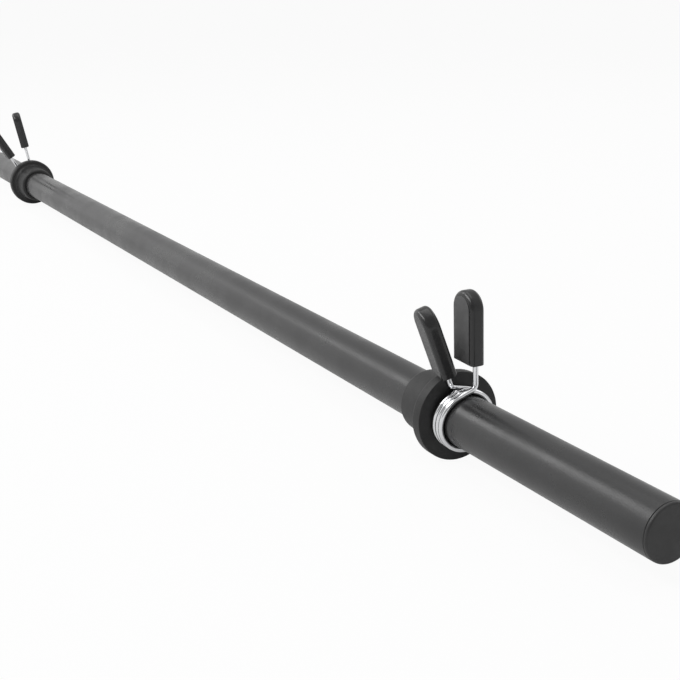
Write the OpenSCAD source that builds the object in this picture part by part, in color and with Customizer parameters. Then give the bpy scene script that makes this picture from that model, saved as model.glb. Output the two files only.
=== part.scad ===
// Lightweight barbell: a plain tube, a stop at each side for the plates, and a wound wire clip
// outside each stop. The origin is the middle of the bar's axis, +X runs along the bar, +Z is up.

/* [Bar] */
// Overall length of the bar, over its end caps
bar_length = 1300; // [900:10:2000]
// Outside diameter of the tube, which the plates slide over
bar_d = 30; // [24:0.5:50]
// Wall thickness of the tube
bar_wall = 2; // [1.5:0.1:4]
// Length from a stop's outer face to the end of the bar
sleeve_length = 174.5; // [100:0.5:350]

/* [End caps] */
// Thickness of the cap's head, outside the tube
cap_head_t = 2; // [1.6:0.1:6]
// Radius of the head's rounded rim
cap_rim_r = 0.6; // [0.4:0.1:1.1]
// Size of the bevel on the head's back edge
cap_bevel = 0.4; // [0.1:0.1:0.4]
// How far the head stays inside the tube's outline
cap_inset = 0.05; // [0:0.05:0.6]
// Length of the plug inside the tube
cap_plug_length = 18; // [10:1:40]
// Wall of the hollow plug
cap_plug_wall = 1.8; // [1.2:0.1:4]
// Number of ribs round the plug
cap_ribs = 4; // [2:1:5]
// Width of each rib along the bar
cap_rib_w = 1.2; // [0.8:0.1:1.6]
// How far the ribs stand out of the plug
cap_rib_h = 0.6; // [0.2:0.1:1.2]
// Space between the ribs and the tube's bore
cap_fit = 0.05; // [0.02:0.01:0.3]

/* [Stops] */
// Diameter of the flange that the plates rest against
flange_d = 51.8; // [44:0.1:80]
// Thickness of the flange
flange_t = 8.4; // [5:0.1:14]
// Radius of the flange's edge on the side of the plates
flange_edge_r = 0.4; // [0.3:0.1:2]
// Radius of the flange's edge on the side of the hub
flange_back_r = 2.2; // [0.4:0.1:2.4]
// Length of the hub, behind the flange
hub_length = 25.5; // [18:0.5:50]
// Wall of the hub at its thin end
hub_tip_wall = 3.7; // [2:0.1:5]
// Wall of the hub at the flange
hub_root_wall = 4.8; // [4:0.1:7]
// Radius of the rounded edge at the hub's thin end
hub_tip_r = 2.6; // [0.4:0.1:3]
// Radius of the fillet between hub and flange
hub_fillet_r = 3.6; // [1:0.1:4]
// Space between the stop's bore and the tube
stop_fit = 0.1; // [0.02:0.01:0.3]

/* [Stop screws] */
// Diameter of the grub screw in each hub
screw_d = 5; // [3:0.5:6]
// Diameter of the screw's point, which sits in the tube
screw_point_d = 3.2; // [2:0.1:4]
// Width across flats of the screw's socket
screw_socket = 2.5; // [1.5:0.5:3]
// How far the screw's head lies under the hub's surface
screw_sink = 0.6; // [0.5:0.1:1]
// Space round the screw and its point
screw_fit = 0.1; // [0.02:0.01:0.3]

/* [Clip wire] */
// Diameter of the wire
wire_d = 3.1; // [2:0.1:4]
// Full turns of the wire round the bar
clip_turns = 3; // [2:1:5]
// Space left between neighbouring turns
turn_gap = 0.1; // [0.1:0.05:1.5]
// Space between the coil and the tube
coil_fit = 0.35; // [0.3:0.05:1]
// Space between the coil and the stop's flange
coil_end_gap = 0.2; // [0.15:0.05:2]
// Radius of the bend from the coil up into a leg, at the wire's middle
elbow_r = 3.5; // [3:0.25:8]
// Share of each turn over which the wire steps out to lie beside the turn before
step_share = 0.3; // [0.2:0.05:1]
// Angle between the two legs
leg_spread = 19.5; // [14:0.5:30]
// How far the left clip's inner leg passes to its own side of the bar's axis
left_inner_offset = 4.6; // [-2:0.1:6]
// How far the left clip's outer leg passes to its own side of the bar's axis
left_outer_offset = 1.9; // [-2:0.1:6]
// How far the right clip's inner leg passes to its own side of the bar's axis
right_inner_offset = -1; // [-2:0.1:6]
// How far the right clip's outer leg passes to its own side of the bar's axis
right_outer_offset = 4.2; // [-2:0.1:6]
// Angle past upright at which the inner leg's wire leaves the coil
inner_leave = 24; // [8:1:30]
// Angle past upright at which the outer leg's wire leaves the coil
outer_leave = 10; // [8:1:30]
// Space between the end of the coil's wire and the start of a leg
leg_gap = 0.2; // [0.15:0.05:0.5]

/* [Clip grips] */
// Distance from the bar's axis to the bottom of the left clip's inner grip
left_inner_height = 43.2; // [27:0.1:50]
// Distance from the bar's axis to the bottom of the left clip's outer grip
left_outer_height = 38.2; // [27:0.1:50]
// Distance from the bar's axis to the bottom of the right clip's inner grip
right_inner_height = 28.6; // [27:0.1:50]
// Distance from the bar's axis to the bottom of the right clip's outer grip
right_outer_height = 32.8; // [27:0.1:50]
// Length of a grip
grip_length = 41; // [34:0.1:70]
// Width of a grip along the bar
grip_w = 20.5; // [13:0.5:24]
// Thickness of a grip
grip_t = 9.2; // [6:0.1:12]
// Radius of a grip's rounded edges
grip_edge_r = 2.8; // [0.5:0.1:3]
// Distance from the inner grip's outer side to the middle of its leg
inner_leg_inset = 7; // [3:0.1:8]
// Distance from the outer grip's outer side to the middle of its leg
outer_leg_inset = 3.1; // [3:0.1:8]
// Turn of an inner grip about its leg, away from square to the bar
inner_grip_twist = -12; // [-15:0.5:15]
// Turn of an outer grip about its leg, away from square to the bar
outer_grip_twist = -2; // [-15:0.5:15]
// Space round the wire inside a grip
grip_fit = 0.05; // [0.02:0.01:0.3]
// Width of the wire's hairpin inside a grip, between the middles of its two sides
hairpin_w = 10; // [6:0.5:12]
// Plastic over the top of the wire's hairpin, to the wire's middle
hairpin_cover = 5; // [3:0.5:8]
// Length of the hairpin's end that turns back down
hairpin_tail = 16; // [4:1:18]

/* [Clip places] */
// Turn of the right clip about the bar, away from upright
right_clip_turn = 12; // [-180:0.25:180]
// Turn of the left clip about the bar, away from upright
left_clip_turn = 22; // [-180:0.25:180]

/* [Hidden] */

$fn = 96;
// Overlap of shapes that are joined or cut, so that no face is shared
eps = 0.01;

bar_r = bar_d / 2;
bore_r = bar_r - bar_wall;
tube_length = bar_length - 2 * cap_head_t;
cap_r = bar_r - cap_inset;
plug_r = bore_r - cap_fit - cap_rib_h;
rib_pitch = cap_plug_length / cap_ribs;

// Places along the bar, measured from its middle
flange_x = bar_length / 2 - sleeve_length;
hub_x = flange_x - flange_t;
hub_tip_x = hub_x - hub_length;
screw_x = hub_x - hub_length / 2;
stop_bore_r = bar_r + stop_fit;
hub_mid_r = bar_r + (hub_tip_wall + hub_root_wall) / 2;
// Roundings of the hub, held to the room that its walls leave them
hub_nose_r = min(hub_tip_r, hub_tip_wall - stop_fit - 0.3);
hub_foot_r = min(hub_fillet_r, flange_d / 2 - flange_back_r - bar_r - hub_root_wall);
screw_point_length = bar_wall - screw_fit;

// The coil's centre line
coil_r = bar_r + coil_fit + wire_d / 2;
coil_pitch = wire_d + turn_gap;
coil_x = flange_x + coil_end_gap + wire_d / 2;
coil_sweep = 360 * clip_turns - inner_leave - outer_leave;
loop_rings = 24;
wire_sides = 6;
elbow_rings = 5;
coil_steps = round(coil_sweep * loop_rings / 360);

// Sides of the bar are -1 left and 1 right; a clip has an inner leg, way -1, and an outer leg, way 1
leg_lean = leg_spread / 2;
function leg_offset(side, way) =
    side < 0
        ? (way < 0 ? left_inner_offset : left_outer_offset)
        : (way < 0 ? right_inner_offset : right_outer_offset);
function leave(way) = way < 0 ? inner_leave : outer_leave;
function grip_twist(way) = way < 0 ? inner_grip_twist : outer_grip_twist;
function leg_inset(way) = way < 0 ? inner_leg_inset : outer_leg_inset;

// Each turn lies flat for most of its way round and then steps out by the pitch
function ease(u) = u * u * (3 - 2 * u);
function coil_place(turn) =
    let (u = turn / 360, part = u - floor(u))
    coil_x + coil_pitch * (floor(u) + ease(max(0, part - 1 + step_share) / step_share));
function leg_x(way) = coil_place(way < 0 ? inner_leave : 360 * clip_turns - outer_leave);

// Lines in the plane across the bar, as [own side, up]: the leg's own, and the coil's tangent
leg_up = [sin(leg_lean), cos(leg_lean)];
leg_aside = [cos(leg_lean), -sin(leg_lean)];
function tangent_start(way) = coil_r * [-sin(leave(way)), cos(leave(way))];
function tangent_way(way) = [cos(leave(way)), sin(leave(way))];
function bend_angle(way) = 90 - leg_lean - leave(way);
function bend_reach(way) = elbow_r * tan(bend_angle(way) / 2);
function corner(side, way) =
    let (start = tangent_start(way), run = tangent_way(way))
    start + run * (leg_offset(side, way) - start * leg_aside) / (run * leg_aside);
// Heights on a leg's line, from the foot of the bar's axis on it
function coil_end(side, way) = corner(side, way) * leg_up + bend_reach(way) + wire_d;
function leg_start(side, way) = coil_end(side, way) + leg_gap;

// The wire's end from the coil's circle through the elbow and up its leg
function end_line(side, way) =
    let (
        run = tangent_way(way),
        bend_start = corner(side, way) - bend_reach(way) * run,
        centre = bend_start + elbow_r * [-run[1], run[0]]
    )
    concat(
        [for (i = [0 : elbow_rings])
            let (a = leave(way) + bend_angle(way) * i / elbow_rings)
            centre + elbow_r * [sin(a), -cos(a)]],
        [leg_offset(side, way) * leg_aside + coil_end(side, way) * leg_up]
    );
function coil_line(side) =
    let (inner_end = end_line(side, -1), outer_end = end_line(side, 1))
    concat(
        [for (i = [len(inner_end) - 1 : -1 : 0]) [leg_x(-1), -inner_end[i][0], inner_end[i][1]]],
        [for (i = [0 : coil_steps])
            let (a = inner_leave + coil_sweep * i / coil_steps)
            [coil_place(a), coil_r * sin(a), coil_r * cos(a)]],
        [for (p = outer_end) [leg_x(1), p[0], p[1]]]
    );

// Rings of the wire: corners round each point of its line, square to the line there
function unit(v) = v / norm(v);
function wire_rings(line) =
    [for (i = [0 : len(line) - 1])
        let (
            way = unit(line[min(i + 1, len(line) - 1)] - line[max(i - 1, 0)]),
            side = unit([1, 0, 0] - way[0] * way),
            up = cross(way, side)
        )
        [for (k = [0 : wire_sides - 1])
            let (a = 360 * (k + 0.5) / wire_sides)
            line[i] + wire_d / 2 * (cos(a) * side + sin(a) * up)]];
left_rings = wire_rings(coil_line(-1));
right_rings = wire_rings(coil_line(1));

// Least gap of the wire to itself, over points that lie most of a turn or more apart
loop_span = floor(loop_rings * 0.8);
function least_gap(rings) =
    min([
        for (i = [0 : len(rings) - 1 - loop_span])
            for (j = [i + loop_span : len(rings) - 1])
                for (p = rings[i])
                    for (q = rings[j])
                        norm(p - q)
    ]);
self_gap = min(least_gap(left_rings), least_gap(right_rings));
echo("least gap of the clip's wire to itself, mm", self_gap);
assert(self_gap > 0.4, "the turns of the clip's wire are too close");

module along_x(x) {
    translate([x, 0, 0])
        rotate([0, 90, 0])
            children();
}

// A profile drawn as [distance from the axis, place along the bar], turned round the bar's axis
module turned() {
    rotate([0, 90, 0])
        rotate_extrude()
            children();
}

module on_side(side) {
    if (side > 0) {
        children();
    } else {
        mirror([1, 0, 0])
            children();
    }
}

module screw_holes(d, from_r, to_r) {
    for (side = [-1, 1])
        translate([side * screw_x, 0, -to_r])
            cylinder(d = d, h = to_r - from_r);
}

module bar_tube() {
    color("dimgray")
        difference() {
            along_x(-tube_length / 2)
                cylinder(r = bar_r, h = tube_length);
            along_x(-tube_length / 2 - eps)
                cylinder(r = bore_r, h = tube_length + 2 * eps);
            screw_holes(screw_point_d + 2 * screw_fit, bore_r - bar_wall, bar_r + bar_wall);
        }
}

module end_cap(side) {
    color([0.2, 0.2, 0.2])
        on_side(side)
            difference() {
                turned() {
                    // Head with a rounded rim and a bevelled back edge
                    polygon([
                        [0, tube_length / 2],
                        [cap_r - cap_bevel, tube_length / 2],
                        [cap_r, tube_length / 2 + cap_bevel],
                        [cap_r, bar_length / 2 - cap_rim_r],
                        [cap_r - cap_rim_r, bar_length / 2],
                        [0, bar_length / 2]
                    ]);
                    intersection() {
                        translate([cap_r - cap_rim_r, bar_length / 2 - cap_rim_r])
                            circle(r = cap_rim_r);
                        translate([0, bar_length / 2 - cap_rim_r])
                            square([cap_r, cap_rim_r]);
                    }
                    // Plug and its ribs
                    translate([0, tube_length / 2 - cap_plug_length])
                        square([plug_r, cap_plug_length + eps]);
                    for (i = [0 : cap_ribs - 1])
                        translate([0, tube_length / 2 - cap_plug_length + rib_pitch * (i + 0.25)])
                            square([plug_r + cap_rib_h, cap_rib_w]);
                }
                along_x(tube_length / 2 - cap_plug_length - eps)
                    cylinder(r = plug_r - cap_plug_wall, h = cap_plug_length);
            }
}

// Outline of a stop, from its bore outwards
module stop_profile() {
    hub_tip = bar_r + hub_tip_wall;
    hub_root = bar_r + hub_root_wall;
    flange_r = flange_d / 2;
    // Flange with two rounded edges
    edges = flange_back_r + flange_edge_r;
    translate([stop_bore_r, hub_x])
        square([flange_r - flange_back_r - stop_bore_r, flange_t]);
    translate([stop_bore_r, hub_x + flange_back_r])
        square([flange_r - flange_edge_r - stop_bore_r, flange_t - flange_back_r]);
    translate([stop_bore_r, hub_x + flange_back_r])
        square([flange_r - stop_bore_r, flange_t - edges]);
    translate([flange_r - flange_back_r, hub_x + flange_back_r])
        circle(r = flange_back_r);
    translate([flange_r - flange_edge_r, flange_x - flange_edge_r])
        circle(r = flange_edge_r);
    // Tapered hub with a rounded tip
    polygon([
        [stop_bore_r, hub_x + eps],
        [stop_bore_r, hub_tip_x],
        [hub_tip - hub_nose_r, hub_tip_x],
        [hub_tip, hub_tip_x + hub_nose_r],
        [hub_root, hub_x + eps]
    ]);
    intersection() {
        translate([hub_tip - hub_nose_r, hub_tip_x + hub_nose_r])
            circle(r = hub_nose_r);
        translate([stop_bore_r, hub_tip_x])
            square([hub_tip - stop_bore_r, hub_nose_r]);
    }
    // Fillet at the foot of the flange
    difference() {
        translate([stop_bore_r, hub_x - hub_foot_r])
            square([hub_root + hub_foot_r - stop_bore_r, hub_foot_r + eps]);
        translate([hub_root + hub_foot_r, hub_x - hub_foot_r])
            circle(r = hub_foot_r);
    }
}

module stop(side) {
    color([0.13, 0.13, 0.13])
        difference() {
            on_side(side)
                turned()
                    stop_profile();
            screw_holes(screw_d + 2 * screw_fit, bar_r - eps, hub_mid_r + hub_root_wall);
        }
}

module stop_screw(side) {
    head_r = hub_mid_r - screw_sink;
    socket_depth = (head_r - bar_r) / 2;
    color([0.3, 0.3, 0.32])
        translate([side * screw_x, 0, -head_r])
            difference() {
                union() {
                    cylinder(d = screw_d, h = head_r - bar_r - screw_fit);
                    cylinder(d = screw_point_d, h = head_r - bar_r + screw_point_length);
                }
                translate([0, 0, -eps])
                    cylinder(d = screw_socket / cos(30), h = socket_depth, $fn = 6);
            }
}

// A clip is drawn for the right side with its legs even about upright, and then set in its place
module clip_place(side) {
    if (side > 0) {
        rotate([right_clip_turn, 0, 0])
            children();
    } else {
        rotate([left_clip_turn, 0, 0])
            rotate([0, 0, 180])
                children();
    }
}

// Stands its children on a leg's line: +Z up the leg, +X out along the bar
module on_leg(side, way) {
    translate([leg_x(way), 0, 0])
        rotate([-way * leg_lean, 0, 0])
            translate([0, way * leg_offset(side, way), 0])
                rotate([0, 0, grip_twist(way)])
                    children();
}

// The hairpin as a solid of the given diameter: up the leg, round, and back down inside the grip
module hairpin(d, from_z, grip_z) {
    bend_r = hairpin_w / 2;
    bend_z = grip_z + grip_length - hairpin_cover - bend_r;
    translate([0, 0, from_z])
        cylinder(d = d, h = bend_z - from_z);
    translate([-bend_r, 0, bend_z])
        rotate([90, 0, 0])
            rotate_extrude(angle = 180)
                translate([bend_r, 0])
                    circle(d = d);
    translate([-hairpin_w, 0, bend_z - hairpin_tail])
        cylinder(d = d, h = hairpin_tail);
}

module clip_coil(side) {
    rings = side < 0 ? left_rings : right_rings;
    count = len(rings);
    color([0.85, 0.86, 0.88])
        clip_place(side)
            polyhedron(
                points = [for (ring = rings) for (p = ring) p],
                faces = concat(
                    [for (i = [0 : count - 2]) for (k = [0 : wire_sides - 1])
                        let (a = i * wire_sides + k, b = i * wire_sides + (k + 1) % wire_sides)
                        for (face = [[a, b, b + wire_sides], [a, b + wire_sides, a + wire_sides]])
                            face],
                    [for (k = [1 : wire_sides - 2]) [0, k + 1, k]],
                    [for (k = [1 : wire_sides - 2]) [0, k, k + 1] + [1, 1, 1] * (count - 1) * wire_sides]
                )
            );
}

module clip_leg(side, way, grip_z) {
    color([0.85, 0.86, 0.88])
        clip_place(side)
            on_leg(side, way)
                hairpin(wire_d, leg_start(side, way), grip_z);
}

module clip_grip(side, way, grip_z) {
    top_r = grip_w / 2;
    color([0.16, 0.16, 0.17])
        clip_place(side)
            on_leg(side, way)
                difference() {
                    translate([leg_inset(way) - top_r, 0, grip_z])
                        grip_slab(top_r);
                    hairpin(wire_d + 2 * grip_fit, grip_z - wire_d, grip_z);
                }
}

// A flat slab with rounded edges and a full round top
module grip_slab(top_r) {
    straight = grip_length - top_r;
    linear_extrude(straight) {
        grip_section(top_r);
        mirror([1, 0])
            grip_section(top_r);
    }
    translate([0, 0, straight])
        rotate([90, 0, 0])
            rotate_extrude(angle = 180)
                grip_section(top_r);
}

// Half of the slab's cross-section, from its middle outwards
module grip_section(half_w) {
    square_t = grip_t - 2 * grip_edge_r;
    translate([0, -grip_t / 2])
        square([half_w - grip_edge_r, grip_t]);
    translate([0, -square_t / 2])
        square([half_w, square_t]);
    for (y = [-square_t / 2, square_t / 2])
        translate([half_w - grip_edge_r, y])
            circle(r = grip_edge_r);
}

bar_tube();
end_cap(-1);  // left_end_cap
end_cap(1);  // right_end_cap
stop(-1);  // left_stop
stop(1);  // right_stop
stop_screw(-1);  // left_stop_screw
stop_screw(1);  // right_stop_screw
clip_coil(-1);  // left_clip_coil
clip_leg(-1, -1, left_inner_height);  // left_clip_inner_leg
clip_leg(-1, 1, left_outer_height);  // left_clip_outer_leg
clip_grip(-1, -1, left_inner_height);  // left_clip_inner_grip
clip_grip(-1, 1, left_outer_height);  // left_clip_outer_grip
clip_coil(1);  // right_clip_coil
clip_leg(1, -1, right_inner_height);  // right_clip_inner_leg
clip_leg(1, 1, right_outer_height);  // right_clip_outer_leg
clip_grip(1, -1, right_inner_height);  // right_clip_inner_grip
clip_grip(1, 1, right_outer_height);  // right_clip_outer_grip
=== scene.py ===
import math
import bmesh
import bpy
from mathutils import Matrix, Vector


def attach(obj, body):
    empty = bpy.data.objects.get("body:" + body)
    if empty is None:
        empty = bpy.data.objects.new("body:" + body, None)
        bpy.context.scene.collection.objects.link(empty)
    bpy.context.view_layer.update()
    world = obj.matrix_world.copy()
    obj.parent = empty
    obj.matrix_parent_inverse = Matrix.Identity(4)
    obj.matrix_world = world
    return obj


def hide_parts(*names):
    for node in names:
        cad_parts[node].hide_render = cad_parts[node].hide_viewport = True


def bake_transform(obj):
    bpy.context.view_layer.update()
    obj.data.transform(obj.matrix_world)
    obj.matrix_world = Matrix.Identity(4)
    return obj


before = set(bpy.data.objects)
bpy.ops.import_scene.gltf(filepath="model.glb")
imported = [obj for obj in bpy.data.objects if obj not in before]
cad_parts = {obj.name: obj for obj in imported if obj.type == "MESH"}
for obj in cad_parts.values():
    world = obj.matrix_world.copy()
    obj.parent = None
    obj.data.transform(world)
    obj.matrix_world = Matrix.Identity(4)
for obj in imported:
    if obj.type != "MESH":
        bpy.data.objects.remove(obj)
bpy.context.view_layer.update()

# The pieces' sizes are in mm and their angles in degrees; the studio is in metres


# The bar
# One straight steel tube, 30 mm across with a 2 mm wall, cut square and powder coated a dark
# grey. The coat is satin, with the faint orange peel of baked powder, rubbed smoother in patches.
bar_length = 1300.0
bar_r = 15.0
tube_wall = 2.0
bore_r = bar_r - tube_wall
cap_head = 2.0
tube_end = bar_length / 2 - cap_head
edge_break = 0.25


def scene_piece(name, mesh):
    """Puts a finished bmesh into the scene as an object of this name."""
    data = bpy.data.meshes.new(name)
    mesh.to_mesh(data)
    mesh.free()
    piece = bpy.data.objects.new(name, data)
    bpy.context.collection.objects.link(piece)
    return piece


def turned_piece(name, outline, steps=160):
    """A closed outline of (distance from the axis, place along the bar), turned round X."""
    mesh = bmesh.new()
    rings = []
    for step in range(steps):
        angle = 2 * math.pi * step / steps
        rings.append([
            mesh.verts.new((x / 1000, r * math.sin(angle) / 1000, r * math.cos(angle) / 1000))
            for r, x in outline
        ])
    count = len(outline)
    for here, there in zip(rings, rings[1:] + rings[:1]):
        for k in range(count):
            after = (k + 1) % count
            mesh.faces.new((here[k], there[k], there[after], here[after]))
    bmesh.ops.remove_doubles(mesh, verts=mesh.verts, dist=1e-7)
    bmesh.ops.recalc_face_normals(mesh, faces=mesh.faces)
    return scene_piece(name, mesh)


def smooth_but_for_edges(piece, degrees):
    """Smooth shading, with a crisp line wherever two faces meet at more than this angle."""
    for face in piece.data.polygons:
        face.use_smooth = True
    piece.data.set_sharp_from_angle(angle=math.radians(degrees))


def feed(tree, node, inputs):
    """Gives each input that is named here its plain value, or links another node's output to it."""
    for socket, given in inputs.items():
        if isinstance(given, bpy.types.NodeSocket):
            tree.links.new(given, node.inputs[socket])
        else:
            node.inputs[socket].default_value = given


def add_node(tree, kind, inputs, **settings):
    """A new node of this kind, with its settings made before its inputs are fed."""
    node = tree.nodes.new(kind)
    for setting, value in settings.items():
        setattr(node, setting, value)
    feed(tree, node, inputs)
    return node


# Small lumps of the surface, and broad patches where handling has rubbed it smoother
handled = bpy.data.node_groups.new("handled surface", "ShaderNodeTree")
for label in ("Lump size", "Lump height", "Patch size", "Rough", "Rubbed"):
    handled.interface.new_socket(name=label, in_out="INPUT", socket_type="NodeSocketFloat")
for label, kind in (
    ("Patch", "NodeSocketFloat"),
    ("Roughness", "NodeSocketFloat"),
    ("Normal", "NodeSocketVector"),
):
    handled.interface.new_socket(name=label, in_out="OUTPUT", socket_type=kind)
asked_for = handled.nodes.new("NodeGroupInput").outputs
place = handled.nodes.new("ShaderNodeTexCoord").outputs["Object"]
lumps = add_node(handled, "ShaderNodeTexNoise", {
    "Vector": place,
    "Scale": asked_for["Lump size"],
    "Detail": 2.0,
})
lump_relief = add_node(handled, "ShaderNodeBump", {
    "Height": lumps.outputs["Fac"],
    "Strength": asked_for["Lump height"],
    "Distance": 0.0002,
})
patches = add_node(handled, "ShaderNodeTexNoise", {
    "Vector": place,
    "Scale": asked_for["Patch size"],
    "Detail": 4.0,
    "Roughness": 0.6,
})
patch_mask = add_node(handled, "ShaderNodeMapRange", {
    "Value": patches.outputs["Fac"],
    "From Min": 0.38,
    "From Max": 0.64,
})
patch_roughness = add_node(handled, "ShaderNodeMapRange", {
    "Value": patch_mask.outputs["Result"],
    "To Min": asked_for["Rough"],
    "To Max": asked_for["Rubbed"],
})
feed(handled, handled.nodes.new("NodeGroupOutput"), {
    "Patch": patch_mask.outputs["Result"],
    "Roughness": patch_roughness.outputs["Result"],
    "Normal": lump_relief.outputs["Normal"],
})


def handled_surface(tree, lump_size, lump_height, patch_size, rough, rubbed):
    """The outputs of the handled surface, placed in a material with the material's own values."""
    return add_node(tree, "ShaderNodeGroup", {
        "Lump size": lump_size,
        "Lump height": lump_height,
        "Patch size": patch_size,
        "Rough": rough,
        "Rubbed": rubbed,
    }, node_tree=handled).outputs


def two_tones(tree, share, first, second):
    """A colour that is the first tone where the share is 0, and the second where it is 1."""
    return add_node(tree, "ShaderNodeMix", {
        "Factor": share,
        "A": (*first, 1.0),
        "B": (*second, 1.0),
    }, data_type="RGBA").outputs["Result"]


def coated(name, dark, light, lump_size, lump_height, patch_size, rough, rubbed, specular):
    """A material whose colour wanders between two tones, over the handled surface."""
    material = bpy.data.materials.new(name)
    material.use_nodes = True
    tree = material.node_tree
    surface = handled_surface(tree, lump_size, lump_height, patch_size, rough, rubbed)
    feed(tree, tree.nodes["Principled BSDF"], {
        "Base Color": two_tones(tree, surface["Patch"], dark, light),
        "Roughness": surface["Roughness"],
        "Normal": surface["Normal"],
        "Specular IOR Level": specular,
    })
    return material


powder_coat = coated(
    "dark grey powder coat",
    dark=(0.018, 0.018, 0.0185), light=(0.027, 0.027, 0.0275),
    lump_size=900.0, lump_height=0.30, patch_size=26.0,
    rough=0.34, rubbed=0.26, specular=0.6,
)
tube = turned_piece("powder_coated_tube", [
    (bore_r, -tube_end),
    (bar_r - edge_break, -tube_end),
    (bar_r, -tube_end + edge_break),
    (bar_r, tube_end - edge_break),
    (bar_r - edge_break, tube_end),
    (bore_r, tube_end),
])
smooth_but_for_edges(tube, 30)
tube.data.materials.append(powder_coat)
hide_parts("bar_tube")
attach(tube, "bar")


# The end caps
# A black plastic plug with a thin, round-edged head closes each end of the tube. It is moulded
# in one piece and held by four soft ribs that press against the tube's bore.
cap_inset = 0.05
cap_r = bar_r - cap_inset
cap_rim_r = 1.2
cap_bevel = 0.35
cap_groove = 0.9
# A ring of points on the flat face, so that it shades evenly
face_ring_r = 5.0
plug_length = 18.0
plug_tip = tube_end - plug_length
plug_r = 12.35
plug_wall = 1.8
plug_bore_r = plug_r - plug_wall
rib_count = 4
rib_h = 0.6
rib_w = 1.2
rib_pitch = plug_length / rib_count
first_rib = plug_tip + rib_pitch / 4


def arc(centre_r, centre_x, radius, from_deg, to_deg, steps=8):
    """Points of a turned outline on an arc; 0 degrees points outwards and 90 along the bar."""
    points = []
    for k in range(steps + 1):
        angle = math.radians(from_deg + (to_deg - from_deg) * k / steps)
        points.append((centre_r + radius * math.cos(angle), centre_x + radius * math.sin(angle)))
    return points


cap_plastic = coated(
    "black cap plastic",
    dark=(0.030, 0.030, 0.0305), light=(0.040, 0.040, 0.0405),
    lump_size=2600.0, lump_height=0.2, patch_size=90.0,
    rough=0.46, rubbed=0.38, specular=0.42,
)
# From the middle of the flat face over the rim and the groove behind it, along the ribs and back
cap_outline = [
    (0.0, bar_length / 2),
    (face_ring_r, bar_length / 2),
    *arc(cap_r - cap_rim_r, bar_length / 2 - cap_rim_r, cap_rim_r, 90, 0),
    (cap_r, tube_end + cap_bevel),
    (cap_r - cap_groove, tube_end + cap_bevel / 2),
    (cap_r - cap_groove, tube_end),
    (plug_r, tube_end),
]
for rib in reversed(range(rib_count)):
    rib_x = first_rib + rib_pitch * rib
    cap_outline += [
        (plug_r, rib_x + rib_w),
        (plug_r + rib_h, rib_x + rib_w),
        (plug_r + rib_h, rib_x),
        (plug_r, rib_x),
    ]
cap_outline += [
    (plug_r, plug_tip),
    (plug_bore_r, plug_tip),
    (plug_bore_r, tube_end),
    (0.0, tube_end),
]
for end_name, side in (("left", -1), ("right", 1)):
    cap = turned_piece(end_name + "_moulded_cap", [(r, side * x) for r, x in cap_outline])
    smooth_but_for_edges(cap, 40)
    cap.data.materials.append(cap_plastic)
    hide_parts(end_name + "_end_cap")
    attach(cap, "bar")


# The stops
# A black moulded collar on each side keeps the plates out of the hands' way: a flange that the
# plates rest against and a tapered hub behind it, with a hole underneath for its grub screw.
sleeve_length = 174.5
flange_x = bar_length / 2 - sleeve_length
flange_r = 51.8 / 2
flange_t = 8.4
flange_edge_r = 0.4
flange_back_r = 2.2
hub_x = flange_x - flange_t
hub_length = 25.5
hub_tip_x = hub_x - hub_length
hub_tip_wall = 3.7
hub_tip_r = bar_r + hub_tip_wall
hub_root_wall = 4.8
hub_root_r = bar_r + hub_root_wall
hub_nose_r = 2.6
hub_fillet_r = 3.6
hub_taper = math.degrees(math.atan2(hub_root_r - hub_tip_r, hub_length))
stop_clearance = 0.1
stop_bore_r = bar_r + stop_clearance
screw_x = hub_x - hub_length / 2
screw_hole_r = 2.6
screw_hole_length = 8.0
screw_hole_z = -18.8

stop_plastic = coated(
    "matt black stop plastic",
    dark=(0.018, 0.018, 0.018), light=(0.025, 0.025, 0.0252),
    lump_size=1500.0, lump_height=0.4, patch_size=60.0,
    rough=0.52, rubbed=0.44, specular=0.36,
)
# From the bore over the flange, down its fillet to the hub's taper, and round the hub's nose
stop_outline = [
    (stop_bore_r, flange_x),
    *arc(flange_r - flange_edge_r, flange_x - flange_edge_r, flange_edge_r, 90, 0),
    *arc(flange_r - flange_back_r, hub_x + flange_back_r, flange_back_r, 0, -90),
    *arc(hub_root_r + hub_fillet_r, hub_x - hub_fillet_r, hub_fillet_r, 90, 180 - hub_taper),
    *arc(hub_tip_r - hub_nose_r, hub_tip_x + hub_nose_r, hub_nose_r, 0, -90),
    (stop_bore_r, hub_tip_x),
]
for end_name, side in (("left", -1), ("right", 1)):
    stop = turned_piece(end_name + "_moulded_stop", [(r, side * x) for r, x in stop_outline])
    hole = bmesh.new()
    bmesh.ops.create_cone(
        hole, cap_ends=True, segments=48, radius1=screw_hole_r / 1000, radius2=screw_hole_r / 1000,
        depth=screw_hole_length / 1000,
        matrix=Matrix.Translation((side * screw_x / 1000, 0.0, screw_hole_z / 1000)),
    )
    drill = scene_piece(end_name + "_screw_hole", hole)
    cut = stop.modifiers.new("screw hole", "BOOLEAN")
    cut.operation = "DIFFERENCE"
    cut.solver = "EXACT"
    cut.object = drill
    drilled = bpy.data.meshes.new_from_object(stop.evaluated_get(bpy.context.evaluated_depsgraph_get()))
    stop.modifiers.clear()
    stop.data = drilled
    bpy.data.objects.remove(drill)
    smooth_but_for_edges(stop, 35)
    stop.data.materials.append(stop_plastic)
    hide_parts(end_name + "_stop")
    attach(stop, "bar")


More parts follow.
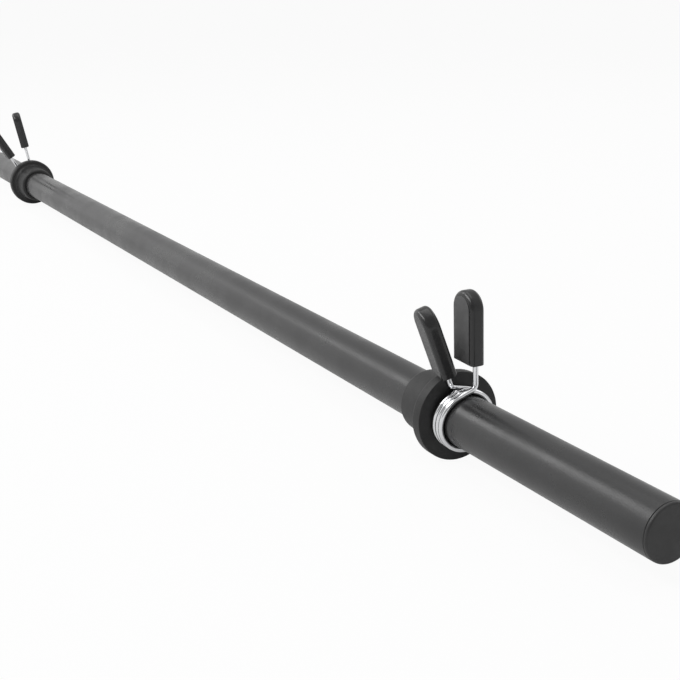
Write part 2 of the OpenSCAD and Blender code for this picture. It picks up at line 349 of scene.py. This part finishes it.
# The stop screws
# A small dark steel grub screw with a hexagon socket sits in the underside of each hub. Its
# point reaches into a hole of the tube and keeps the stop from creeping along the bar.
screw_steel = coated(
    "blackened screw steel",
    dark=(0.10, 0.10, 0.105), light=(0.18, 0.18, 0.185),
    lump_size=3000.0, lump_height=0.2, patch_size=400.0,
    rough=0.38, rubbed=0.26, specular=0.5,
)
screw_steel.node_tree.nodes["Principled BSDF"].inputs["Metallic"].default_value = 1.0
for end_name in ("left", "right"):
    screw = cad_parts[end_name + "_stop_screw"]
    screw.data.materials.clear()
    screw.data.materials.append(screw_steel)


# The clips' wire
# One length of bright plated spring wire is wound three times round the bar, each turn laid
# beside the last. Both its ends rise as legs and are bent over into a hairpin inside a grip.
wire_r = 3.1 / 2
coil_turns = 3
coil_clearance = 0.35
coil_r = bar_r + coil_clearance + wire_r
coil_pitch = 3.2
coil_gap = 0.2
coil_x = flange_x + coil_gap + wire_r
# Each turn lies square to the bar but for this last share, where it steps along by the pitch
step_share = 0.3
elbow_r = 3.5
legs_apart = 19.5
leg_lean = legs_apart / 2
hairpin_w = 10.0
hairpin_cover = 5.0
hairpin_tail = 16.0
grip_length = 41.0

# Each clip's angle round the bar. As drawn for the right side, before that turn, a clip's inner
# leg leaves the coil towards -Y and its outer leg towards +Y.
clip_turn = {"left": 22.0, "right": 12.0}
leg_way = {"inner": -1, "outer": 1}

# How far round from the coil's top each leg leaves it, the same in degrees of winding, and how
# far its hairpin and grip are twisted
leg_leaves = {"inner": 24.0, "outer": 10.0}
leg_turn = {"inner": leg_leaves["inner"], "outer": 360 * coil_turns - leg_leaves["outer"]}
leg_twist = {"inner": -12.0, "outer": -2.0}

# How far each leg's line passes from the bar's axis, and how far up that line its grip begins
leg_offset = {
    ("left", "inner"): 4.6, ("left", "outer"): 1.9,
    ("right", "inner"): -1.0, ("right", "outer"): 4.2,
}
grip_height = {
    ("left", "inner"): 43.2, ("left", "outer"): 38.2,
    ("right", "inner"): 28.6, ("right", "outer"): 32.8,
}

# How finely the wire is drawn: degrees between the coil's rings, and steps on each other stretch
coil_step = 3
tangent_steps = 6
elbow_steps = 16
leg_steps = 12
hairpin_steps = 24
tail_steps = 4


def coil_place(turn):
    """Place along the bar of the wire's middle, after this many degrees of winding."""
    whole, part = divmod(turn / 360, 1)
    rise = max(0.0, part - 1 + step_share) / step_share
    return coil_x + coil_pitch * (whole + rise * rise * (3 - 2 * rise))


leg_x = {leg: coil_place(turn) for leg, turn in leg_turn.items()}


def set_round_bar(clip):
    """Turns a clip that is drawn for the right side to its own side and its own angle."""
    turn = Matrix.Rotation(math.radians(clip_turn[clip]), 4, "X")
    if clip == "left":
        turn = turn @ Matrix.Rotation(math.pi, 4, "Z")
    return turn


def leg_frame(clip, leg):
    """Stands a piece on a leg's line: +Z up the leg and +X out along the bar."""
    way = leg_way[leg]
    return (
        Matrix.Translation((leg_x[leg], 0, 0))
        @ Matrix.Rotation(-way * math.radians(leg_lean), 4, "X")
        @ Matrix.Translation((0, way * leg_offset[clip, leg], 0))
        @ Matrix.Rotation(math.radians(leg_twist[leg]), 4, "Z")
    )


def coil_route(from_turn, to_turn):
    """The wire's middle on the coil, between two angles of winding."""
    route = []
    steps = round(abs(to_turn - from_turn) / coil_step)
    for k in range(steps + 1):
        turn = from_turn + (to_turn - from_turn) * k / steps
        angle = math.radians(turn)
        route.append(Vector((coil_place(turn), coil_r * math.sin(angle), coil_r * math.cos(angle))))
    return route


def leg_route(clip, leg):
    """The wire's middle from where it leaves the coil's circle to the end of its hairpin."""
    way = leg_way[leg]
    off = math.radians(leg_leaves[leg])
    lean = math.radians(leg_lean)
    along = Vector((math.cos(off), math.sin(off)))
    start = coil_r * Vector((-math.sin(off), math.cos(off)))
    up = Vector((math.sin(lean), math.cos(lean)))
    aside = Vector((math.cos(lean), -math.sin(lean)))

    # The straight tangent and the elbow, in the plane across the bar
    corner = start + along * (leg_offset[clip, leg] - start.dot(aside)) / along.dot(aside)
    bend = math.pi / 2 - lean - off
    bend_start = corner - elbow_r * math.tan(bend / 2) * along
    centre = bend_start + elbow_r * Vector((-along.y, along.x))
    flat = [start + (bend_start - start) * k / tangent_steps for k in range(1, tangent_steps)]
    for k in range(elbow_steps + 1):
        angle = off + bend * k / elbow_steps
        flat.append(centre + elbow_r * Vector((math.sin(angle), -math.cos(angle))))
    route = [Vector((leg_x[leg], way * p.x, p.y)) for p in flat]

    # The leg and its hairpin, standing on the leg's line
    stand = leg_frame(clip, leg)
    low = corner.dot(up) + elbow_r * math.tan(bend / 2)
    bend_r = hairpin_w / 2
    high = grip_height[clip, leg] + grip_length - hairpin_cover - bend_r
    for k in range(1, leg_steps + 1):
        route.append(stand @ Vector((0, 0, low + (high - low) * k / leg_steps)))
    for k in range(1, hairpin_steps + 1):
        angle = math.pi * k / hairpin_steps
        route.append(stand @ Vector((-bend_r + bend_r * math.cos(angle), 0, high + bend_r * math.sin(angle))))
    for k in range(1, tail_steps + 1):
        route.append(stand @ Vector((-hairpin_w, 0, high - hairpin_tail * k / tail_steps)))
    return route


def drawn_wire(name, route, sides=28):
    """A round wire along a route, closed at both ends, with a map along and round it."""
    mesh = bmesh.new()
    lengthwise = mesh.loops.layers.uv.new("along the wire")
    ahead = (route[1] - route[0]).normalized()
    across = ahead.orthogonal().normalized()
    rings = []
    run = [0.0]
    for k, point in enumerate(route):
        before = route[max(k - 1, 0)]
        after = route[min(k + 1, len(route) - 1)]
        heading = (after - before).normalized()
        across = (ahead.rotation_difference(heading) @ across).normalized()
        across = (across - heading * across.dot(heading)).normalized()
        ahead = heading
        other = heading.cross(across)
        ring = []
        for s in range(sides):
            angle = 2 * math.pi * s / sides
            ring.append(mesh.verts.new(
                (point + wire_r * (math.cos(angle) * across + math.sin(angle) * other)) / 1000
            ))
        rings.append(ring)
        if k:
            run.append(run[-1] + (point - before).length / 1000)
    for k in range(len(rings) - 1):
        here = rings[k]
        there = rings[k + 1]
        for s in range(sides):
            beside = (s + 1) % sides
            face = mesh.faces.new((here[s], here[beside], there[beside], there[s]))
            corners = ((run[k], s), (run[k], s + 1), (run[k + 1], s + 1), (run[k + 1], s))
            for loop, (length, turn) in zip(face.loops, corners):
                loop[lengthwise].uv = (length, turn / sides)
    mesh.faces.new(list(reversed(rings[0])))
    mesh.faces.new(rings[-1])
    bmesh.ops.recalc_face_normals(mesh, faces=mesh.faces)
    return scene_piece(name, mesh)


# Bright plating over drawn wire: fine lines along its length and a few duller stretches
wire_plating = bpy.data.materials.new("bright plated wire")
wire_plating.use_nodes = True
plating = wire_plating.node_tree
wire_map = add_node(plating, "ShaderNodeUVMap", {}, uv_map="along the wire")
stretched_map = add_node(plating, "ShaderNodeMapping", {
    "Vector": wire_map.outputs["UV"],
    "Scale": (60.0, 14.0, 1.0),
})
draw_marks = add_node(plating, "ShaderNodeTexNoise", {
    "Vector": stretched_map.outputs["Vector"],
    "Scale": 1.0,
    "Detail": 3.0,
}).outputs["Fac"]
mark_relief = add_node(plating, "ShaderNodeBump", {
    "Height": draw_marks,
    "Strength": 0.12,
    "Distance": 0.0001,
})
dullness = add_node(plating, "ShaderNodeMapRange", {
    "Value": draw_marks,
    "From Min": 0.35,
    "From Max": 0.75,
    "To Min": 0.10,
    "To Max": 0.24,
})
feed(plating, plating.nodes["Principled BSDF"], {
    "Base Color": two_tones(plating, draw_marks, (0.86, 0.865, 0.88), (0.70, 0.705, 0.72)),
    "Metallic": 1.0,
    "Roughness": dullness.outputs["Result"],
    "Normal": mark_relief.outputs["Normal"],
})

# Each clip's wire is two halves that meet in the middle of the second turn's sideways step.
# On the real clip, each half unwinds towards its own handle when the handles are squeezed.
halves_meet = 360 * (2 - step_share / 2)
for clip, side in (("left", -1), ("right", 1)):
    place_clip = set_round_bar(clip)
    for leg in ("inner", "outer"):
        route = coil_route(halves_meet, leg_turn[leg]) + leg_route(clip, leg)
        wire = drawn_wire(clip + "_wire_" + leg + "_half", [place_clip @ p for p in route])
        smooth_but_for_edges(wire, 50)
        wire.data.materials.append(wire_plating)
        if leg == "inner":
            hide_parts(clip + "_clip_coil", clip + "_clip_inner_leg")
        else:
            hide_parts(clip + "_clip_outer_leg")
        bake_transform(wire)


# The grips
# Each handle is a flat slab of black plastic with polished, rounded edges, a full round top and
# matt broad faces, pushed over the wire's hairpin. Thumb and finger squeeze a clip's two together.
grip_w = 20.5
grip_t = 9.2
grip_edge_r = 2.8
grip_top_z = grip_length - grip_w / 2
# How far each leg's wire stands in from the edge of its grip that faces the bar's end
leg_inset = {"inner": 7.0, "outer": 3.1}

# How much of the edge's rounding the foot and the top of the slab get
foot_rounding = 0.22
top_rounding = 1.15

# The inner edge of the narrow band on each broad face, as shares of the face about its middle
band_across = 0.94
band_along = 0.97
band_middle_z = 20.0

# How finely the slab's outline and its rounded edge are drawn
foot_steps = 4
side_steps = 8
top_steps = 48
edge_steps = 9


def slab_outline(inset):
    """The slab's outline as (X, Z) points, drawn in by this much, from the foot and round."""
    half = grip_w / 2 - inset
    foot = foot_rounding * inset
    crown = grip_w / 2 - top_rounding * inset
    outline = [(-half + 2 * half * k / foot_steps, foot) for k in range(foot_steps + 1)]
    outline += [(half, foot + (grip_top_z - foot) * k / side_steps) for k in range(1, side_steps + 1)]
    for k in range(1, top_steps):
        angle = math.pi * k / top_steps
        outline.append((half * math.cos(angle), grip_top_z + crown * math.sin(angle)))
    outline += [(-half, grip_top_z - (grip_top_z - foot) * k / side_steps) for k in range(side_steps)]
    return outline


def slab_grip(name, stand):
    """A slab stood in its place; in its own frame its foot is at Z 0 and its faces look along Y."""
    mesh = bmesh.new()
    broad_face = mesh.verts.layers.float.new("broad face")
    layers = []
    for k in range(edge_steps + 1):
        angle = math.pi / 2 * k / edge_steps
        layers.append((
            -(grip_t / 2 - grip_edge_r) - grip_edge_r * math.cos(angle),
            grip_edge_r * (1 - math.sin(angle)),
        ))
    layers += [(-y, inset) for y, inset in reversed(layers)]
    rings = [[mesh.verts.new((x, y, z)) for x, z in slab_outline(inset)] for y, inset in layers]
    count = len(rings[0])
    for here, there in zip(rings, rings[1:]):
        for k in range(count):
            after = (k + 1) % count
            mesh.faces.new((here[k], here[after], there[after], there[k]))
    for ring in (rings[0], rings[-1]):
        # A narrow band inside the broad face's edge lets the face shade flat
        band = []
        for v in ring:
            x, y, z = v.co
            band.append(mesh.verts.new((
                x * band_across, y, band_middle_z + (z - band_middle_z) * band_along
            )))
        for v in ring + band:
            v[broad_face] = 1.0
        for k in range(count):
            after = (k + 1) % count
            mesh.faces.new((ring[k], ring[after], band[after], band[k]))
        mesh.faces.new(band)
    bmesh.ops.recalc_face_normals(mesh, faces=mesh.faces)
    grip = scene_piece(name, mesh)
    grip.data.transform(Matrix.Scale(0.001, 4) @ stand)
    return grip


# The rounded edges are polished, and the two broad faces have a fine matt texture. The broad faces also get a
# far lighter colour than the edges, which is painted sheen standing in for the bright room they mirror.
grip_plastic = coated(
    "black grip plastic",
    dark=(0.019, 0.019, 0.0195), light=(0.025, 0.025, 0.0255),
    lump_size=380.0, lump_height=0.25, patch_size=60.0,
    rough=0.28, rubbed=0.21, specular=0.5,
)
moulding = grip_plastic.node_tree
moulding_shader = moulding.nodes["Principled BSDF"]
on_face = add_node(moulding, "ShaderNodeAttribute", {}, attribute_name="broad face").outputs["Fac"]
matt = handled_surface(
    moulding, lump_size=2200.0, lump_height=0.5, patch_size=70.0, rough=0.66, rubbed=0.55
)
# The broad faces' lighter tone is painted sheen: the same black plastic, made lighter where it catches the
# light
painted_sheen_tone = two_tones(moulding, matt["Patch"], (0.098, 0.098, 0.0985), (0.114, 0.114, 0.1145))
for socket, kind, broad_face_value in (
    ("Base Color", "RGBA", painted_sheen_tone),
    ("Roughness", "FLOAT", matt["Roughness"]),
    ("Normal", "VECTOR", matt["Normal"]),
):
    polished_value = moulding_shader.inputs[socket].links[0].from_socket
    either = add_node(moulding, "ShaderNodeMix", {
        "Factor": on_face,
        "A": polished_value,
        "B": broad_face_value,
    }, data_type=kind)
    feed(moulding, moulding_shader, {socket: either.outputs["Result"]})
for clip in ("left", "right"):
    for leg in ("inner", "outer"):
        grip = slab_grip(clip + "_" + leg + "_squeeze_grip", (
            set_round_bar(clip) @ leg_frame(clip, leg)
            @ Matrix.Translation((leg_inset[leg] - grip_w / 2, 0, grip_height[clip, leg]))
        ))
        smooth_but_for_edges(grip, 60)
        grip.data.materials.append(grip_plastic)
        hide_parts(clip + "_clip_" + leg + "_grip")
        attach(grip, clip + "_" + leg + "_handle")


# The studio
# The bar lies on its two stops on a pale painted floor, in a white room that is dimmer overhead
# and on the camera's side. Three softboxes and one strip light stand round it.
floor_reach = 40.0
floor_gap = 0.0002
floor_z = -flange_r / 1000 - floor_gap


def worked_out(tree, operation, first, second):
    """The answer of a Math node to two inputs."""
    return add_node(tree, "ShaderNodeMath", {0: first, 1: second}, operation=operation).outputs["Value"]


def kinds_of_ray(tree):
    """Two masks: what the camera sees directly, and what it sees in gloss or through glass."""
    rays = tree.nodes.new("ShaderNodeLightPath").outputs
    mirrored = worked_out(tree, "MAXIMUM", rays["Is Glossy Ray"], rays["Is Transmission Ray"])
    return rays["Is Camera Ray"], mirrored


# The floor's paint is lit, and mixed with plain white where it is seen and, less so, mirrored
white_where_seen = 0.94
white_where_mirrored = 0.22
floor_paint = bpy.data.materials.new("pale floor paint")
floor_paint.use_nodes = True
paint = floor_paint.node_tree
paint.nodes.remove(paint.nodes["Principled BSDF"])
seen, mirrored = kinds_of_ray(paint)
white_share = worked_out(
    paint, "MAXIMUM",
    worked_out(paint, "MULTIPLY", mirrored, white_where_mirrored),
    worked_out(paint, "MULTIPLY", seen, white_where_seen),
)
lit_paint = add_node(paint, "ShaderNodeBsdfDiffuse", {"Color": (0.86, 0.86, 0.86, 1.0)})
plain_white = add_node(paint, "ShaderNodeEmission", {"Color": (1.0, 1.0, 1.0, 1.0), "Strength": 1.0})
mixed_paint = add_node(paint, "ShaderNodeMixShader", {
    "Fac": white_share,
    1: lit_paint.outputs["BSDF"],
    2: plain_white.outputs["Emission"],
})
feed(paint, paint.nodes["Material Output"], {"Surface": mixed_paint.outputs["Shader"]})

floor_data = bpy.data.meshes.new("pale_floor")
floor_data.from_pydata([
    (-floor_reach, -floor_reach, floor_z),
    (floor_reach, -floor_reach, floor_z),
    (floor_reach, floor_reach, floor_z),
    (-floor_reach, floor_reach, floor_z),
], [], [(0, 1, 2, 3)])
floor_data.materials.append(floor_paint)
floor = bpy.data.objects.new("pale_floor", floor_data)
bpy.context.collection.objects.link(floor)

# The room is white where it is seen, and lights the bar less from above and from the camera's side
camera_side = (0.75, -0.66, 0.0)
above = (0.0, 0.75, 1.0)
white_room = bpy.data.worlds.new("white studio")
bpy.context.scene.world = white_room
white_room.use_nodes = True
room = white_room.node_tree
direction = room.nodes.new("ShaderNodeTexCoord").outputs["Generated"]


def dimmer_towards(way, near_start, near_full, dimmest):
    """A light level that falls from 1 to the dimmest as the direction nears this way."""
    nearness = add_node(room, "ShaderNodeVectorMath", {0: direction, 1: way}, operation="DOT_PRODUCT")
    return add_node(room, "ShaderNodeMapRange", {
        "Value": nearness.outputs["Value"],
        "From Min": near_start,
        "From Max": near_full,
        "To Min": 1.0,
        "To Max": dimmest,
    }).outputs["Result"]


seen, mirrored = kinds_of_ray(room)
lit_level = add_node(room, "ShaderNodeMapRange", {"Value": mirrored, "To Min": 0.5, "To Max": 1.0})
dim_places = worked_out(
    room, "MULTIPLY",
    dimmer_towards(camera_side, near_start=0.25, near_full=0.85, dimmest=0.3),
    dimmer_towards(above, near_start=0.26, near_full=0.60, dimmest=0.60),
)
room_level = add_node(room, "ShaderNodeMix", {
    "Factor": seen,
    "A": worked_out(room, "MULTIPLY", lit_level.outputs["Result"], dim_places),
    "B": 1.0,
})
feed(room, room.nodes["Background"], {
    "Color": (1.0, 1.0, 1.0, 1.0),
    "Strength": room_level.outputs["Result"],
})

# Each lamp's place, what it is aimed at, its width and height in metres, and its watts
for lamp_name, spot, aim, size, power in (
    ("front softbox", (0.1, -1.6, 1.7), (0.1, 0.0, 0.0), (2.4, 0.8), 30.0),
    ("top softbox", (0.0, 0.2, 2.2), (0.0, 0.0, 0.0), (2.4, 1.2), 11.0),
    ("back softbox", (0.0, 2.2, 1.3), (0.0, 0.0, 0.0), (2.4, 1.0), 6.0),
    ("strip light over the far end", (-1.3, -0.88, 1.45), (0.5, 0.0, 0.0), (0.45, 1.1), 4.6),
):
    lamp_data = bpy.data.lights.new(lamp_name, "AREA")
    lamp_data.shape = "RECTANGLE"
    lamp_data.size, lamp_data.size_y = size
    lamp_data.energy = power
    lamp = bpy.data.objects.new(lamp_name, lamp_data)
    lamp.location = spot
    lamp.rotation_euler = (Vector(aim) - Vector(spot)).to_track_quat("-Z", "Y").to_euler()
    bpy.context.collection.objects.link(lamp)

# The camera stands a little above and beyond the bar's right end, and looks down its length
camera_spot = (1.0315, -0.3656, 0.2369)
camera_look = Vector((-0.85118, 0.44471, -0.27881))
camera_data = bpy.data.cameras.new("camera")
camera_data.sensor_width = 36.0
camera_data.lens = 66.03
camera_data.clip_start = 0.05
camera_data.clip_end = 60.0
camera = bpy.data.objects.new("camera", camera_data)
camera.location = camera_spot
camera.rotation_euler = camera_look.to_track_quat("-Z", "Y").to_euler()
bpy.context.collection.objects.link(camera)
bpy.context.scene.camera = camera
bpy.context.scene.view_settings.view_transform = "Standard"
